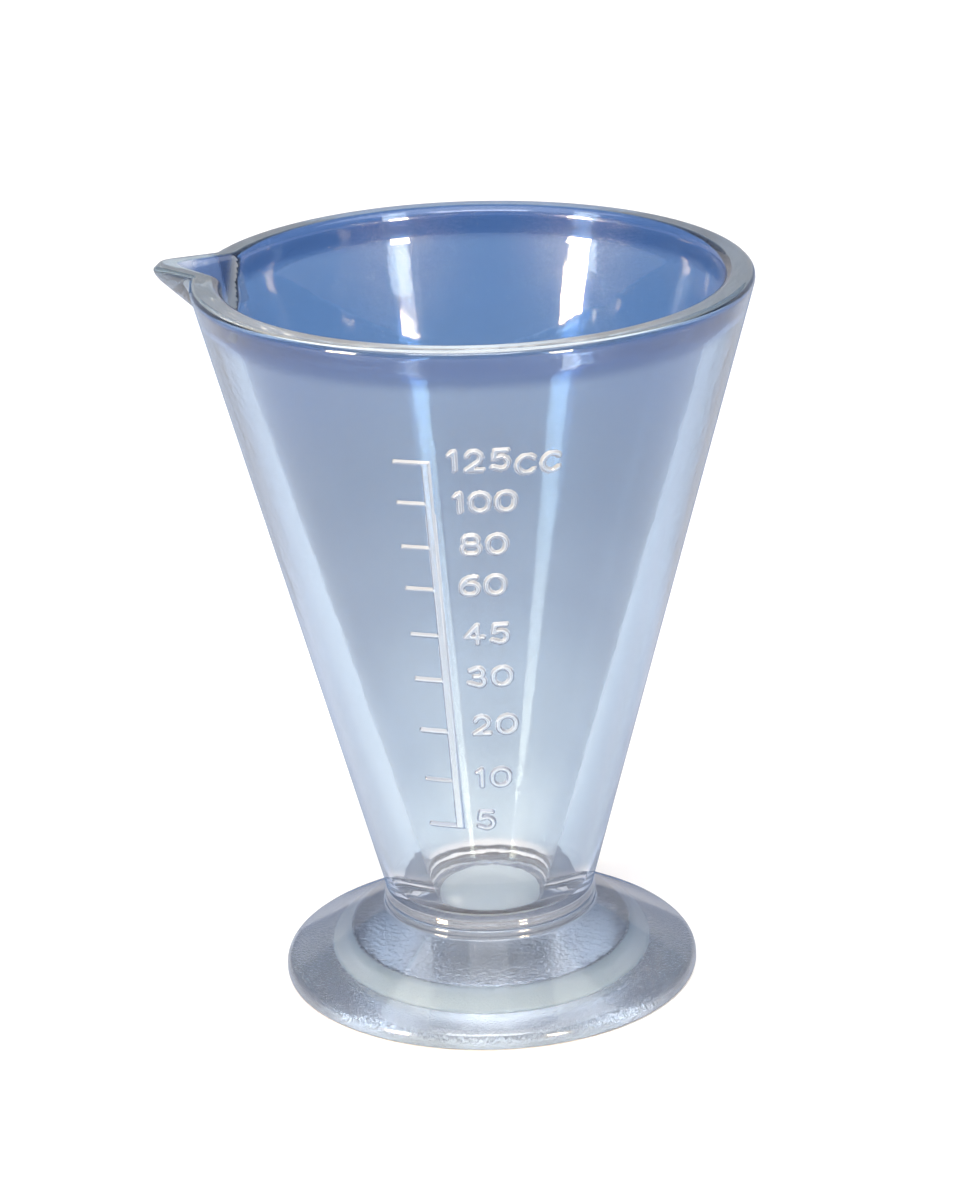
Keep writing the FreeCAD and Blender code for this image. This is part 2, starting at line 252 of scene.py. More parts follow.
def outer_heights(azimuths):
    """Heights of the rings up the outer wall, each a number or one height for each azimuth."""
    low, high = PATCH_HEIGHTS
    cells = round((high - low) / CELL_HEIGHT)
    below = np.linspace(NECK_Z + WALL_START, low, RINGS_BELOW + 1)[:-1]
    patch = np.linspace(low, high, cells + 1)
    top = HEIGHT - lip_rounding(azimuths)
    above = [high + (top - high) * share for share in steps(0, 1, RINGS_ABOVE)]
    return [*below, *patch, *above], cells


def bowl_rows(azimuths):
    """Every ring of the bowl, from the joint's edge up the outside, over the lip and down to the
    floor, with where the patch begins, its cells, and where the lip begins and ends."""
    collar = rounded([
        (JOINT_RADIUS, JOINT_Z, 0),
        (COLLAR_RADIUS, JOINT_Z + COLLAR_HALF, COLLAR_ROUND),
        (NECK_RADIUS, NECK_Z - 0.05 * MM, 0.35 * MM),
        (cone_radius(NECK_Z + WALL_START), NECK_Z + WALL_START, 0),
    ])
    rows = [place(azimuths, radius, z) for radius, z in collar[:-1]]
    heights, cells = outer_heights(azimuths)
    first = len(rows) + RINGS_BELOW
    rows += [place(azimuths, outside(azimuths, z), z) for z in heights]
    outer_end = len(rows)
    lip = lip_rounding(azimuths)
    for turn in steps(0, math.pi / 2, LIP_STEPS):
        z = HEIGHT - lip * (1 - math.sin(turn))
        rows.append(place(azimuths, outside(azimuths, z) - lip * (1 - math.cos(turn)), z))
    outer_edge = outside(azimuths, HEIGHT) - lip
    inner_edge = inside(azimuths, HEIGHT) + LIP_ROUND
    for share in (0.25, 0.5, 0.75):
        rows.append(place(azimuths, outer_edge + (inner_edge - outer_edge) * share, HEIGHT))
    for turn in np.linspace(math.pi / 2, 0, LIP_STEPS + 1):
        z = HEIGHT - LIP_ROUND * (1 - math.sin(turn))
        rows.append(place(azimuths, inside(azimuths, z) + LIP_ROUND * (1 - math.cos(turn)), z))
    inner_start = len(rows) - 1
    mouth = steps(HEIGHT - LIP_ROUND, LAND_Z - MOUTH_DEPTH, RINGS_MOUTH)
    cone = steps(LAND_Z - MOUTH_DEPTH, FLOOR_Z + FLOOR_START, RINGS_CONE)
    rows += [place(azimuths, inside(azimuths, z), z) for z in (*mouth, *cone)]
    floor = rounded([
        (FLOOR_RADIUS + INNER_SLOPE * FLOOR_START, FLOOR_Z + FLOOR_START, 0),
        (FLOOR_RADIUS, FLOOR_Z, FLOOR_BEND),
        (FLOOR_HOLE, FLOOR_Z, 0),
    ], points=12)
    rows += [place(azimuths, radius, z) for radius, z in floor[1:]]
    return rows, first, cells, outer_end, inner_start


# ---- the scale's relief, read from the CAD nodes

SIDE_COSINE = 0.5              # a face that turns further away from the axis's outward is a side
GLYPH_MARGIN = 0.3 * MM
GLYPH_SEARCH = 3 * MM
TICK_GAP = 2 * MM              # heights further apart than this belong to different ticks
TICK_REACH = 4.9 * MM          # of a tick's far end from the scale's middle line

Patch = namedtuple("Patch", "azimuths heights names relief owner divided")


def mark_surfaces(node):
    """Search trees of a mark's top faces and of its side faces."""
    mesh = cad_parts[node].data
    points = [v.co.copy() for v in mesh.vertices]
    tops, sides = [], []
    for polygon in mesh.polygons:
        centre = polygon.center
        outward = Vector((centre.x, centre.y, 0)).normalized()
        facing = polygon.normal.dot(outward)
        if facing > SIDE_COSINE:
            tops.append(tuple(polygon.vertices))
        elif facing > -SIDE_COSINE:
            sides.append(tuple(polygon.vertices))
    return BVHTree.FromPolygons(points, tops), BVHTree.FromPolygons(points, sides)


def relief_height(depth):
    """Height of the relief at a depth inside a mark's outline: rounded sides and a flat top."""
    share = np.clip(depth / RELIEF_RAMP, 0, 1)
    return np.where(depth > RELIEF_START, RELIEF * np.sin(share * math.pi / 2), 0)


def depth_in_glyph(node, azimuths, heights):
    """Depth inside the outline of a numeral for each azimuth and height, zero outside it."""
    depth = np.zeros((len(azimuths), len(heights)))
    tops, sides = mark_surfaces(node)
    low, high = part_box(node)
    for i, azimuth in enumerate(azimuths):
        turn = math.radians(azimuth)
        outward = Vector((math.sin(turn), -math.cos(turn), 0))
        for k, z in enumerate(heights):
            if not low.z - GLYPH_MARGIN < z < high.z + GLYPH_MARGIN:
                continue
            middle = outward * (cone_radius(z) + RELIEF / 2) + Vector((0, 0, z))
            if not low.x - GLYPH_MARGIN < middle.x < high.x + GLYPH_MARGIN:
                continue
            if tops.ray_cast(middle, outward, GLYPH_SEARCH)[0] is not None:
                depth[i, k] = sides.find_nearest(middle)[3]
    return depth


def tick_centres():
    """Height of each tick, from the separate solids of the ticks' node, and a tick's width."""
    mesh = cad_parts["scale_ticks"].data
    heights = sorted({round(v.co.z, 6) for v in mesh.vertices})
    groups = [[heights[0]]]
    for z in heights[1:]:
        if z - groups[-1][-1] > TICK_GAP:
            groups.append([z])
        else:
            groups[-1].append(z)
    return [(group[0] + group[-1]) / 2 for group in groups], groups[0][-1] - groups[0][0]


def scale_fields(azimuths, heights):
    """For each mark node, the height of its relief over the patch's fine grid."""
    turn, z = np.meshgrid(np.radians(azimuths), heights, indexing="ij")
    across = cone_radius(z) * turn
    low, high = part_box("scale_spine")
    spine_half = high.x
    spine = np.minimum(spine_half - np.abs(across), np.minimum(z - low.z, high.z - z))
    centres, width = tick_centres()
    ticks = np.full(z.shape, -1.0)
    for centre in centres:
        beyond = np.maximum(-across - (TICK_REACH - width / 2), 0) + np.maximum(across, 0)
        ticks = np.maximum(ticks, width / 2 - np.hypot(beyond, z - centre))
    beside_spine = np.abs(across) > spine_half - RELIEF_RAMP
    fields = {
        "scale_spine": relief_height(spine),
        "scale_ticks": np.where(beside_spine, relief_height(ticks), 0),
    }
    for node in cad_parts:
        if node.startswith("numeral") or node.startswith("unit"):
            fields[node] = relief_height(depth_in_glyph(node, azimuths, heights))
    return fields


def scale_patch(columns, rows):
    """The patch's fine grid with its relief, the mark that owns each point, and the cells that
    hold any relief."""
    azimuths = np.linspace(*PATCH_AZIMUTHS, columns * DIVISIONS + 1)
    heights = np.linspace(*PATCH_HEIGHTS, rows * DIVISIONS + 1)
    fields = scale_fields(azimuths, heights)
    stack = np.stack(list(fields.values()))
    relief = stack.max(axis=0)
    divided = np.zeros((columns, rows), bool)
    for a in range(columns):
        for b in range(rows):
            left, bottom = a * DIVISIONS, b * DIVISIONS
            part = relief[left:left + DIVISIONS + 1, bottom:bottom + DIVISIONS + 1]
            divided[a, b] = part.max() > 0
    return Patch(azimuths, heights, list(fields), relief, stack.argmax(axis=0), divided)


def make_bowl(glass):
    azimuths, patch_columns = column_azimuths()
    columns = len(azimuths)
    rows, first, cells, outer_end, inner_start = bowl_rows(azimuths)
    vertices = [point for row in rows for point in row]
    normals = [NO_NORMAL] * len(vertices)
    faces, kinds = [], []
    patch = scale_patch(patch_columns - 1, cells)
    marks = {name: [] for name in patch.names}
    cone_tilt = math.atan2(RIM_RADIUS - NECK_RADIUS, HEIGHT - NECK_Z)
    fine_index = {}

    def index_of(j, k):
        return k * columns + j

    def fine_vertex(a, b):
        if a % DIVISIONS == 0 and b % DIVISIONS == 0:
            number = index_of(a // DIVISIONS, first + b // DIVISIONS)
        elif (a, b) in fine_index:
            return fine_index[a, b]
        else:
            number = len(vertices)
            fine_index[a, b] = number
            z = patch.heights[b]
            vertices.append(place(patch.azimuths[a], cone_radius(z), z))
            normals.append(NO_NORMAL)
        turn = math.radians(patch.azimuths[a])
        flat = math.cos(cone_tilt)
        normals[number] = (flat * math.sin(turn), -flat * math.cos(turn), -math.sin(cone_tilt))
        return number

    def spacing(a, b):
        inside_patch = 0 <= a < patch_columns - 1 and 0 <= b < cells
        return 1 if inside_patch and patch.divided[a, b] else DIVISIONS

    def add_whole_cell(a, b):
        """One face, with a corner at each fine point that it shares with a divided cell."""
        left, right = a * DIVISIONS, (a + 1) * DIVISIONS
        bottom, top = b * DIVISIONS, (b + 1) * DIVISIONS
        ring = [(u, bottom) for u in range(left, right, spacing(a, b - 1))]
        ring += [(right, v) for v in range(bottom, top, spacing(a + 1, b))]
        ring += [(u, top) for u in range(right, left, -spacing(a, b + 1))]
        ring += [(left, v) for v in range(top, bottom, -spacing(a - 1, b))]
        faces.append([fine_vertex(*point) for point in ring])
        kinds.append("outside")

    def add_divided_cell(a, b):
        """Small faces, each the plain wall's or the one under a mark."""
        for u in range(a * DIVISIONS, (a + 1) * DIVISIONS):
            for v in range(b * DIVISIONS, (b + 1) * DIVISIONS):
                quad = [(u, v), (u + 1, v), (u + 1, v + 1), (u, v + 1)]
                heights = [patch.relief[point] for point in quad]
                faces.append([fine_vertex(*point) for point in quad])
                if max(heights) > 0:
                    kinds.append("joined")
                    owner = patch.owner[quad[int(np.argmax(heights))]]
                    marks[patch.names[owner]].append(quad)
                else:
                    kinds.append("outside")

    def plain_kind(j, k):
        z = rows[k][j][2]
        if k < outer_end + LIP_OUTSIDE:
            beside = abs(azimuths[j] - 360 - SPOUT_AZIMUTH) < SPOUT_SIDE_ANGLE
            return "spout" if beside and z > SPOUT_FOOT_Z else "outside"
        if k < inner_start - LIP_INSIDE:
            return "rim"
        if z < FLOOR_Z + FLOOR_RISE:
            return "cup_floor"
        in_channel = inside(azimuths[j], z) - inner_radius(z) > SPOUT_STEP
        return "channel" if in_channel else "inside"

    for j, k, corners in ring_faces(columns, 0, len(rows) - 1, index_of):
        a, b = j, k - first
        if not (a < patch_columns - 1 and 0 <= b < cells):
            faces.append(corners)
            kinds.append(plain_kind(j, k))
        elif patch.divided[a, b]:
            add_divided_cell(a, b)
        else:
            add_whole_cell(a, b)

    joint_centre = len(vertices)
    floor_centre = joint_centre + 1
    vertices += [np.array([0, 0, JOINT_Z]), np.array([0, 0, FLOOR_Z])]
    normals += [NO_NORMAL] * 2
    last = len(rows) - 1
    for j in range(columns):
        after = (j + 1) % columns
        faces.append([joint_centre, index_of(after, 0), index_of(j, 0)])
        kinds.append("joined")
        faces.append([floor_centre, index_of(j, last), index_of(after, last)])
        kinds.append("cup_floor")
    materials = chosen(glass, "outside", "inside", "joined", "rim", "channel", "spout",
                       "cup_floor")
    bowl = make_piece("glass_bowl", vertices, faces, kinds, materials, normals)
    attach(bowl, "root")
    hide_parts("bowl")
    for name, quads in marks.items():
        make_mark(name, quads, patch, glass)


def relief_normals(patch):
    """Unit normals of the raised wall over the fine grid."""
    turn, z = np.meshgrid(patch.azimuths, patch.heights, indexing="ij")
    points = place(turn, cone_radius(z) + patch.relief, z)
    normal = np.cross(np.gradient(points, axis=0), np.gradient(points, axis=1))
    return normal / np.linalg.norm(normal, axis=-1, keepdims=True)


def without_pinches(relief, quads):
    """The relief, lifted a little where two faces of a mark would meet at an edge of no
    thickness."""
    lifted = relief.copy()
    seen = set()
    for quad in quads:
        for start, end in zip(quad, quad[1:] + quad[:1]):
            if (end, start) in seen and relief[start] + relief[end] == 0:
                lifted[start] = lifted[end] = RELIEF_LEAST
            seen.add((start, end))
    return lifted


def make_mark(name, quads, patch, glass):
    """One raised mark: its displaced top, closed by the wall's own face under it."""
    normals_grid = relief_normals(patch)
    relief = without_pinches(patch.relief, quads)
    vertices, normals, index = [], [], {}

    def vertex(spot, raised):
        raised = raised and relief[spot] > 0
        key = (spot, bool(raised))
        if key not in index:
            index[key] = len(vertices)
            z = patch.heights[spot[1]]
            radius = cone_radius(z) + (relief[spot] if raised else 0)
            vertices.append(place(patch.azimuths[spot[0]], radius, z))
            normals.append(tuple(normals_grid[spot]))
        return index[key]

    faces, kinds = [], []
    edges = set()
    for quad in quads:
        faces.append([vertex(point, True) for point in quad])
        flat = min(relief[point] for point in quad) >= FLAT_TOP * RELIEF
        kinds.append("raised_top" if flat else "raised")
        faces.append([vertex(point, False) for point in reversed(quad)])
        kinds.append("joined")
        edges.update(zip(quad, quad[1:] + quad[:1]))
    for start, end in edges:
        if (end, start) in edges or relief[start] + relief[end] == 0:
            continue
        side = [vertex(end, True), vertex(start, True), vertex(start, False), vertex(end, False)]
        faces.append(list(dict.fromkeys(side)))
        kinds.append("joined")
    materials = chosen(glass, "raised", "joined", "raised_top")
    piece = make_piece("glass_" + name, vertices, faces, kinds, materials, normals)
    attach(piece, "root")
    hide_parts(name)


# ---- foot

FOOT_EDGE_Z = 2.15 * MM
FOOT_EDGE_ROUND = 1.5 * MM
FOOT_ROUND = 0.5 * MM          # of the crown and of the resting ring's two corners
CROWN_RADIUS = 16.4 * MM
CROWN_Z = 10.9 * MM
RECESS_Z = 3.9 * MM
RECESS_RADIUS = 21.2 * MM
RECESS_MOUTH = 22.6 * MM
RECESS_ROUND = 1.5 * MM
RECESS_SLOPE = 0.3             # a steeper part of the underside is the recess's side
ROOF_BAND = 0.1 * MM           # a part this near the recess's roof belongs to it
ROOF_HOLE = 1.0 * MM           # radius of the innermost ring, which a fan closes
FOOT_STEP = 1.5                # degrees between columns
SHORTEST_STRIP, LONGEST_STRIP = 0.001 * MM, 1.2 * MM
ON_THE_PLANE = 0.001 * MM


def foot_line():
    """The foot's outline from the joint down to the resting ring and up into the recess."""
    outline = rounded([
        (JOINT_RADIUS, JOINT_Z, 0),
        (COLLAR_RADIUS, JOINT_Z - COLLAR_HALF, COLLAR_ROUND),
        (CROWN_RADIUS, CROWN_Z, FOOT_ROUND),
        (FOOT_RADIUS, FOOT_EDGE_Z, FOOT_EDGE_ROUND),
        (FOOT_RADIUS, 0, FOOT_ROUND),
        (RECESS_MOUTH, 0, FOOT_ROUND),
        (RECESS_RADIUS, RECESS_Z, RECESS_ROUND),
        (ROOF_HOLE, RECESS_Z, 0),
    ], points=8)
    line = [outline[0]]
    for point in outline[1:]:
        gap = np.linalg.norm(point - line[-1])
        if gap < SHORTEST_STRIP:
            continue
        parts = math.ceil(gap / LONGEST_STRIP)
        line += [line[-1] + (point - line[-1]) * i / parts for i in range(1, parts + 1)]
    return line


def underside_kind(start, end):
    """The look of the strip between two points of the foot's line, past its outer edge."""
    if end[1] - start[1] > RECESS_SLOPE * (start[0] - end[0]):
        return "recess"
    return "roof" if start[1] > RECESS_Z - ROOF_BAND else "under"


def make_foot(glass):
    line = foot_line()
    azimuths = np.arange(0, 360, FOOT_STEP)
    columns, last = len(azimuths), len(line) - 1
    vertices = [point for radius, z in line for point in place(azimuths, radius, z)]

    def index_of(j, k):
        return k * columns + j

    faces, kinds = [], []
    under = next(i for i, (radius, z) in enumerate(line) if z < ON_THE_PLANE)
    for j, k, corners in ring_faces(columns, 0, last, index_of):
        faces.append(corners[::-1])
        kinds.append("foot" if k < under else underside_kind(line[k], line[k + 1]))
    joint_centre = len(vertices)
    roof_centre = joint_centre + 1
    vertices += [np.array([0, 0, JOINT_Z]), np.array([0, 0, RECESS_Z])]
    for j in range(columns):
        after = (j + 1) % columns
        faces.append([joint_centre, index_of(j, 0), index_of(after, 0)])
        kinds.append("joined")
        faces.append([roof_centre, index_of(after, last), index_of(j, last)])
        kinds.append("roof")
    materials = chosen(glass, "foot", "under", "joined", "recess", "roof")
    foot = make_piece("glass_foot", vertices, faces, kinds, materials)
    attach(foot, "root")
    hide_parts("foot")


# ---- materials

GLASS_IOR = 1.5
EDGE_BLEND = 0.48
OUTLINE_POWER = 5.0
# deep blue of the outline: painted shade for the refraction lines along the glass's edges
OUTLINE_SHADE_BLUE = (0.05, 0.11, 0.24, 1)
GRAIN_ROUGHNESS = 0.09
GRAIN_WEIGHT = [(0.72, (0.8, 0.8, 0.8)), (0.82, (0.5, 0.5, 0.5))]


def new_material(name):
    material = bpy.data.materials.new(name)
    material.use_nodes = True
    nodes, links = material.node_tree.nodes, material.node_tree.links
    nodes.clear()
    output = nodes.new("ShaderNodeOutputMaterial")
    return material, nodes, links, output


def peel_bump(nodes, links, coarse, distance, fine=None, share=0.0):
    """Orange-peel waves of pressed glass, with a share of finer grain on them."""
    place_in = nodes.new("ShaderNodeTexCoord")

    def noise(size, detail):
        texture = nodes.new("ShaderNodeTexNoise")
        texture.inputs["Scale"].default_value = 1 / size
        texture.inputs["Detail"].default_value = detail
        links.new(place_in.outputs["Object"], texture.inputs["Vector"])
        return texture.outputs["Fac"]

    height = noise(coarse, 1.0)
    if fine:
        add = nodes.new("ShaderNodeMath")
        add.operation = "MULTIPLY_ADD"
        add.inputs[1].default_value = share
        links.new(noise(fine, 2.0), add.inputs[0])
        links.new(height, add.inputs[2])
        height = add.outputs[0]
    bump = nodes.new("ShaderNodeBump")
    bump.inputs["Strength"].default_value = 1.0
    bump.inputs["Distance"].default_value = distance
    links.new(height, bump.inputs["Height"])
    return bump.outputs["Normal"]


def graded_colour(nodes, links, axis, start, length, stops):
    """Colour along an axis of the object from start over length, between stops of (share,
    colour)."""
    place_in = nodes.new("ShaderNodeTexCoord")
    split = nodes.new("ShaderNodeSeparateXYZ")
    links.new(place_in.outputs["Object"], split.inputs[0])
    share = nodes.new("ShaderNodeMapRange")
    share.inputs["From Min"].default_value = start
    share.inputs["From Max"].default_value = start + length
    links.new(split.outputs[axis], share.inputs["Value"])
    ramp = nodes.new("ShaderNodeValToRGB")
    ramp.color_ramp.interpolation = "EASE"
    elements = ramp.color_ramp.elements
    while len(elements) < len(stops):
        elements.new(0.5)
    for element, (position, colour) in zip(elements, stops):
        element.position = position
        element.color = (*colour, 1)
    links.new(share.outputs[0], ramp.inputs["Fac"])
    return ramp.outputs["Color"]


def mixed(nodes, links, kind, factor, first, second):
    """A colour mix of the given kind. Each of the last three is a socket or a value."""
    mix = nodes.new("ShaderNodeMix")
    mix.data_type = "RGBA"
    mix.blend_type = kind
    for name, value in (("Factor", factor), ("A", first), ("B", second)):
        if isinstance(value, bpy.types.NodeSocket):
            links.new(value, mix.inputs[name])
        else:
            mix.inputs[name].default_value = value
    return next(out for out in mix.outputs if out.type == "RGBA")


def glass_material(name, stops, transmission, roughness, bump, edge=None, behind=None,
                   leaving=None, grain=None, span=("Z", 0, HEIGHT)):
    """Glass with a surface of its own: a little haze, a tint between stops along the span, in
    places painted light or shade instead, and moulding waves in its gloss. edge is the tint where
    it is seen at a slant, through more glass, and it adds a deep blue outline of painted shade.
    behind is the tint from inside it. leaving holds the stops of a further tint from inside it.
    grain is a second, duller gloss whose fine bumps break up the reflections."""
    material, nodes, links, output = new_material(name)
    shader = nodes.new("ShaderNodeBsdfPrincipled")
    shader.inputs["Transmission Weight"].default_value = transmission
    shader.inputs["Roughness"].default_value = roughness
    shader.inputs["IOR"].default_value = GLASS_IOR
    from_inside = nodes.new("ShaderNodeNewGeometry").outputs["Backfacing"]
    colour = graded_colour(nodes, links, *span, stops)
    surface = shader.outputs[0]
    if edge:
        slant = nodes.new("ShaderNodeLayerWeight")
        slant.inputs["Blend"].default_value = EDGE_BLEND
        facing = slant.outputs["Facing"]
        colour = mixed(nodes, links, "MULTIPLY", facing, colour, (*edge, 1))
        # a deep blue outline of painted shade where the surface turns away
        surface = with_painted_outline(nodes, links, surface, facing, from_inside)
    if behind:
        colour = mixed(nodes, links, "MIX", from_inside, colour, (*behind, 1))
    if leaving:
        exit_tint = graded_colour(nodes, links, *span, leaving)
        colour = mixed(nodes, links, "MULTIPLY", from_inside, colour, exit_tint)
    links.new(colour, shader.inputs["Base Color"])
    links.new(peel_bump(nodes, links, *bump), shader.inputs["Normal"])
    if grain:
        weight = graded_colour(nodes, links, *span, GRAIN_WEIGHT)
        air_side = mixed(nodes, links, "MIX", from_inside, weight, (0, 0, 0, 1))
        links.new(air_side, shader.inputs["Coat Weight"])
        shader.inputs["Coat Roughness"].default_value = GRAIN_ROUGHNESS
        links.new(peel_bump(nodes, links, *grain), shader.inputs["Coat Normal"])
    links.new(surface, output.inputs["Surface"])
    return material


def with_painted_outline(nodes, links, surface, facing, from_inside):
    """The surface with a deep blue outline where it turns away: painted shade standing in for the
    dark refraction lines along the glass's edges, partly the thick glass's own colour."""
    turned = nodes.new("ShaderNodeMath")
    turned.operation = "POWER"
    turned.inputs[1].default_value = OUTLINE_POWER
    links.new(facing, turned.inputs[0])
    outer = nodes.new("ShaderNodeMath")
    outer.operation = "SUBTRACT"
    outer.use_clamp = True
    links.new(turned.outputs[0], outer.inputs[0])
    links.new(from_inside, outer.inputs[1])
    blue = nodes.new("ShaderNodeBsdfDiffuse")
    blue.inputs["Color"].default_value = OUTLINE_SHADE_BLUE
    mix = nodes.new("ShaderNodeMixShader")
    links.new(outer.outputs[0], mix.inputs[0])
    links.new(surface, mix.inputs[1])
    links.new(blue.outputs[0], mix.inputs[2])
    return mix.outputs[0]


def joined_material():
    """Where two named parts of the one glass body meet, light passes straight on."""
    material, nodes, links, output = new_material("joined_glass")
    clear = nodes.new("ShaderNodeBsdfTransparent")
    links.new(clear.outputs[0], output.inputs["Surface"])
    return material


def make_materials():
    # tints, and in places painted light or shade, as (share of the span, colour)
    # the outer wall's dark blue band just under the lip, from 0.94 to 0.992, is painted shade
    # standing in for the lip's refraction; the other stops are a tint along the height
    outer_tint_and_lip_shade_stops = [
        (0.10, (0.95, 0.97, 1.0)), (0.2, (0.88, 0.93, 0.97)), (0.5, (0.80, 0.87, 0.93)),
        (0.94, (0.72, 0.81, 0.90)), (0.960, (0.22, 0.32, 0.54)), (0.992, (0.22, 0.32, 0.54)),
        (1.0, (0.5, 0.56, 0.63)),
    ]
    inside_stops = [
        (0.12, (1.0, 1.0, 1.0)), (0.16, (1.0, 1.0, 1.0)), (0.3, (0.38, 0.43, 0.52)),
        (0.5, (0.098, 0.133, 0.215)), (0.65, (0.042, 0.077, 0.160)),
        (0.9, (0.030, 0.081, 0.25)), (1.0, (0.040, 0.098, 0.29)),
    ]
    channel_stops = [
        (0.0, (0.30, 0.36, 0.50)), (0.14, (0.04, 0.08, 0.22)), (0.39, (0.04, 0.08, 0.22)),
        (0.5, (0.30, 0.36, 0.44)), (0.6, (0.26, 0.33, 0.43)), (0.68, (0.12, 0.18, 0.32)),
    ]
    # the rim is pale at the front and darker towards the back: painted highlight at the front,
    # painted shade at the back
    rim_light_and_shade_stops = [(0.0, (0.88, 0.92, 0.93)), (0.35, (0.33, 0.43, 0.51)), (1.0, (0.18, 0.28, 0.42))]
    mark_stops = [(0.28, (0.42, 0.51, 0.67)), (0.5, (0.60, 0.68, 0.79)), (0.7, (0.70, 0.76, 0.82))]
    # the cup's floor is pale cyan and mostly diffuse: painted light standing in for the bright
    # table seen up through the foot
    floor_light_stops = [(0.1165, (0.86, 0.95, 1.0)), (0.126, (0.76, 0.84, 0.92))]
    spout_stops = [(0.9, (0.24, 0.31, 0.40)), (1.0, (0.27, 0.35, 0.44))]
    foot_stops = [(0.0, (0.64, 0.70, 0.78)), (0.1, (0.58, 0.65, 0.75))]
    under_stops = [(0.0, (0.80, 0.84, 0.89)), (0.1, (0.76, 0.81, 0.88))]
    # the recess wall is pale cyan and half diffuse: painted light standing in for the bright table
    # seen through it
    recess_light_stops = [(0.0, (0.80, 0.95, 1.0)), (0.04, (0.76, 0.91, 0.98))]
    roof_stops = [(0.034, (0.12, 0.14, 0.20)), (0.036, (0.16, 0.18, 0.24))]
    leaving = [(0.125, (1.0, 1.0, 1.0)), (0.135, (0.33, 0.50, 0.67))]
    edge = (0.03, 0.08, 0.24)
    clear = (0.97, 0.98, 0.99)
    channel_span = ("X", -44 * MM, 14 * MM)
    rim_span = ("Y", -42 * MM, 84 * MM)
    # waves, as size and height, and for grain its own size and share
    peel = (1.6 * MM, 0.012 * MM)
    smooth = (3.0 * MM, 0.010 * MM)
    grain = (0.5 * MM, 0.10 * MM, 0.25 * MM, 0.7)
    stipple = (0.6 * MM, 0.045 * MM, 0.3 * MM, 1.0)
    sparkle = (0.8 * MM, 0.14 * MM, 0.35 * MM, 0.6)
    return {
        "outside": glass_material("outer_wall", outer_tint_and_lip_shade_stops, 0.96, 0.02, peel, edge,
                                  leaving=leaving),
        "inside": glass_material("inner_wall", inside_stops, 1.0, 0.04, smooth,
                                 behind=clear, grain=grain),
        "cup_floor": glass_material("cup_floor", floor_light_stops, 0.25, 0.08, peel),
        "channel": glass_material("spout_channel", channel_stops, 0.55, 0.06, peel,
                                  behind=clear, span=channel_span),
        "spout": glass_material("spout_outside", spout_stops, 0.92, 0.04, peel, edge),
        "rim": glass_material("rim", rim_light_and_shade_stops, 0.8, 0.05, smooth, span=rim_span),
        "raised": glass_material("raised_sides", mark_stops, 0.62, 0.03, peel, edge),
        "raised_top": glass_material("raised_tops", outer_tint_and_lip_shade_stops, 0.85, 0.03, peel, edge),
        "foot": glass_material("foot_top", foot_stops, 0.95, 0.12, peel, edge),
        "under": glass_material("foot_underside", under_stops, 1.0, 0.05, stipple),
        "recess": glass_material("recess_wall", recess_light_stops, 0.5, 0.10, stipple),
        "roof": glass_material("recess_roof", roof_stops, 0.72, 0.04, sparkle),
        "joined": joined_material(),
    }


# ---- stage, lights, camera

FLOOR_GAP = 0.1 * MM           # keeps the floor from sharing a plane with the foot
STAGE_CENTRE, STAGE_MIDDLE, STAGE_RADIUS = 0.001, 0.6, 2.6
STAGE_SWEEP = 0.8
STAGE_WALL = 1.3
STAGE_STEP = 5                 # degrees between columns

CAMERA_AZIMUTH = 11.3
CAMERA_ELEVATION = 20.69
CAMERA_DISTANCE = 0.5996
CAMERA_ROLL = -1.675
CAMERA_LENS = 119.84
CAMERA_SENSOR = 36
CAMERA_SHIFT = (0.0027, 0.0298)
CAMERA_NEAREST = 0.01

BACKDROP_BLUE = (0.60, 0.74, 1.0, 1)
BACKDROP_STRENGTH = 0.35
WARM = (1.0, 0.93, 0.80)
AMBER = (1.0, 0.73, 0.44)
LOWER_POWER = 115              # watts for each metre of a side light's width
HALO_POWER = 6

MOST_BOUNCES = 24              # a path through the glass crosses many surfaces
GLOSSY_BOUNCES = 16


def make_floor():
    """A pale round floor that turns up into a wall all the way around."""
    line = [(radius, -FLOOR_GAP) for radius in (STAGE_CENTRE, STAGE_MIDDLE, STAGE_RADIUS)]
    for turn in steps(0, math.pi / 2, 12):
        line.append((STAGE_RADIUS + STAGE_SWEEP * math.sin(turn),
                     STAGE_SWEEP * (1 - math.cos(turn))))
    line.append((STAGE_RADIUS + STAGE_SWEEP, STAGE_WALL))
    azimuths = np.arange(0, 360, STAGE_STEP)
    columns = len(azimuths)
    vertices = [point for radius, z in line for point in place(azimuths, radius, z)]
    strips = ring_faces(columns, 0, len(line) - 1, lambda j, k: k * columns + j)
    faces = [corners for _, _, corners in strips]
    faces.append(list(range(columns))[::-1])
    kinds = ["paper"] * len(faces)
    floor = make_piece("floor", vertices, faces, kinds, {"paper": floor_material()})


def floor_material():
    material, nodes, links, output = new_material("floor_paper")
    shader = nodes.new("ShaderNodeBsdfPrincipled")
    shader.inputs["Base Color"].default_value = (0.93, 0.93, 0.93, 1)
    shader.inputs["Roughness"].default_value = 0.9
    links.new(shader.outputs[0], output.inputs["Surface"])
    return material


def direction(azimuth, elevation):
    a, e = math.radians(azimuth), math.radians(elevation)
    return Vector((math.sin(a) * math.cos(e), -math.cos(a) * math.cos(e), math.sin(e)))


def stand(name, data, back, distance, roll=0.0):
    """An object that looks at the measure's centre from a distance along back."""
    thing = bpy.data.objects.new(name, data)
    thing.location = CENTRE + back * distance
    thing.rotation_mode = "QUATERNION"
    turn = back.to_track_quat("Z", "Y") @ Quaternion((0, 0, 1), math.radians(roll))
    thing.rotation_quaternion = turn
    bpy.context.scene.collection.objects.link(thing)
    return thing


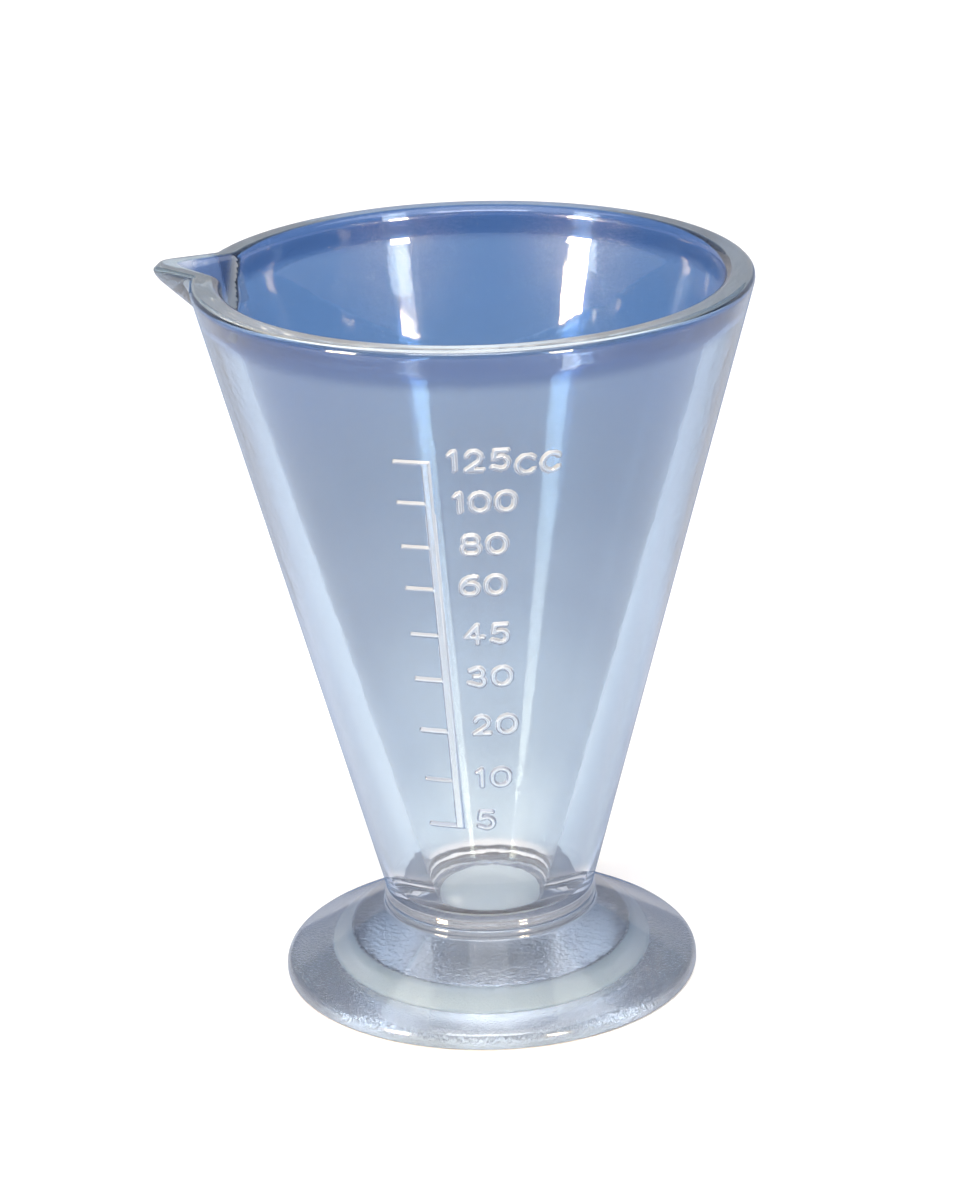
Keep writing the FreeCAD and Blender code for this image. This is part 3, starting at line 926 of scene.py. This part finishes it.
def make_camera():
    data = bpy.data.cameras.new("camera")
    data.sensor_width = CAMERA_SENSOR
    data.lens = CAMERA_LENS
    data.shift_x, data.shift_y = CAMERA_SHIFT
    data.clip_start = CAMERA_NEAREST
    back = direction(CAMERA_AZIMUTH, CAMERA_ELEVATION)
    camera = stand("camera", data, back, CAMERA_DISTANCE, CAMERA_ROLL)
    bpy.context.scene.camera = camera


def soft_box(name, azimuth, elevation, distance, width, height, power, colour=(1, 1, 1)):
    data = bpy.data.lights.new(name, "AREA")
    data.shape = "RECTANGLE"
    data.size = width
    data.size_y = height
    data.energy = power
    data.color = colour
    stand(name, data, direction(azimuth, elevation), distance)


def make_lights():
    """Broad light from above and the front, and a strip at each side for the long streaks: its
    upper part shows in the mouth, its lower part in the front wall, its halo around both."""
    world = bpy.data.worlds.new("studio")
    world.use_nodes = True
    backdrop = world.node_tree.nodes["Background"]
    backdrop.inputs["Color"].default_value = BACKDROP_BLUE
    backdrop.inputs["Strength"].default_value = BACKDROP_STRENGTH
    bpy.context.scene.world = world
    soft_box("top_light", 0, 84, 1.8, 2.2, 2.2, 34)
    soft_box("front_light", 5, 58, 1.5, 0.9, 0.4, 11)
    for side, turn, width, power in (("right", 34, 0.17, 0.95), ("left", -53, 0.22, 3.4)):
        azimuth = CAMERA_AZIMUTH + turn
        soft_box(side + "_upper", azimuth, 23.3, 1.416, width, 0.31, power, WARM)
        soft_box(side + "_lower", azimuth, 10.6, 1.32, 1.25 * width, 0.33,
                 LOWER_POWER * width, AMBER)
        soft_box(side + "_halo", azimuth, 14, 1.4, 2 * width, 0.9, HALO_POWER * width, WARM)


glass = make_materials()
make_bowl(glass)
make_foot(glass)
make_floor()
make_lights()
make_camera()
bpy.context.scene.view_settings.view_transform = "Standard"
bpy.context.scene.cycles.max_bounces = MOST_BOUNCES
bpy.context.scene.cycles.transmission_bounces = MOST_BOUNCES
bpy.context.scene.cycles.transparent_max_bounces = MOST_BOUNCES
bpy.context.scene.cycles.glossy_bounces = GLOSSY_BOUNCES
